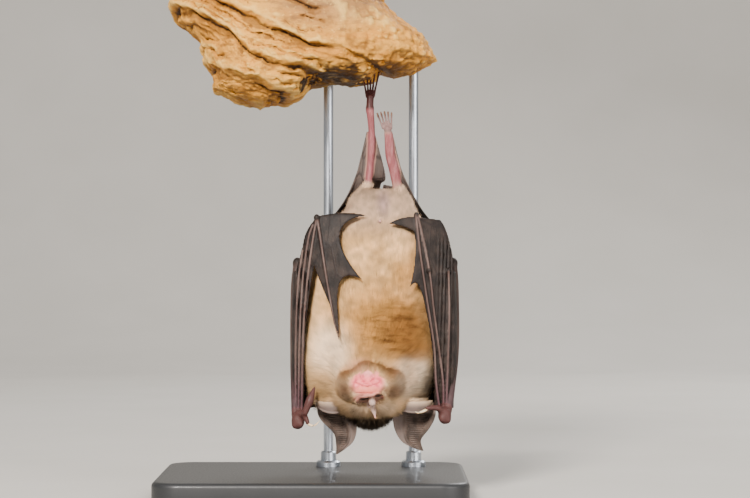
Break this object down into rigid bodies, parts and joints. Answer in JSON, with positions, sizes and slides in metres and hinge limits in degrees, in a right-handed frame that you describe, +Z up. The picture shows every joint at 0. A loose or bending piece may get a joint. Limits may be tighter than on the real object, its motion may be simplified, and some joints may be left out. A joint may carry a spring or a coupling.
{
  "type": "hanging horseshoe bat",
  "caption": "Life-size horseshoe bat hanging head down by one foot from a piece of cave rock, wings folded at its sides, on a flat base with two rods.",
  "frame": {"origin": "centre of the stand base's underside", "axes": "+Z up, +X to the right seen from the belly side, -Y towards which the belly faces"},
  "size_m": [0.098, 0.078, 0.1724],
  "materials": {
    "fur": "short soft fur, cream with a brown chest and a browner back",
    "bare_skin": "satin, pink on lips and legs, grey-brown on ears and fingers",
    "wing_skin": "satin, dark grey-brown, finely wrinkled and veined",
    "claw": "smooth pale horn",
    "eye": "wet black",
    "cave_rock": "rough, flaky, ochre with dark cracks",
    "stand_rods": "brushed",
    "stand_base": "satin black paint"
  },
  "bodies": {
    "root": {"eye_left": "eye", "eye_right": "eye", "noseleaf_sella": "bare_skin", "noseleaf_lancet": "bare_skin", "noseleaf_horseshoe": "bare_skin", "chin": "bare_skin", "head": "fur", "thumb_claw_left": "claw", "wrist_left": "bare_skin", "thumb_left": "bare_skin", "forearm_left": "bare_skin", "finger_3_tip_left": "bare_skin", "finger_3_left": "bare_skin", "finger_4_left": "bare_skin", "finger_5_left": "bare_skin", "upper_arm_left": "fur", "thumb_claw_right": "claw", "wrist_right": "bare_skin", "thumb_right": "bare_skin", "forearm_right": "bare_skin", "finger_3_tip_right": "bare_skin", "finger_3_right": "bare_skin", "finger_4_right": "bare_skin", "finger_5_right": "bare_skin", "upper_arm_right": "fur", "thigh_left": "fur", "thigh_right": "fur", "foot_left": "bare_skin", "foot_right": "bare_skin", "shank_left": "bare_skin", "shank_right": "bare_skin", "tail": "bare_skin", "belly": "fur", "chest": "fur", "neck": "fur", "ear_left": "bare_skin", "ear_right": "bare_skin", "ear_lobe_left": "bare_skin", "ear_lobe_right": "bare_skin", "wing_skin_front_left": "wing_skin", "wing_skin_front_right": "wing_skin", "wing_skin_flank_left": "wing_skin", "wing_skin_flank_right": "wing_skin", "leg_skin_left": "wing_skin", "leg_skin_right": "wing_skin", "tail_skin_left": "wing_skin", "tail_skin_right": "wing_skin", "stand_rod_left": "stand_rods", "stand_rod_right": "stand_rods", "perch_rock": "cave_rock", "stand_base": "stand_base"}
  },
  "joints": []
}
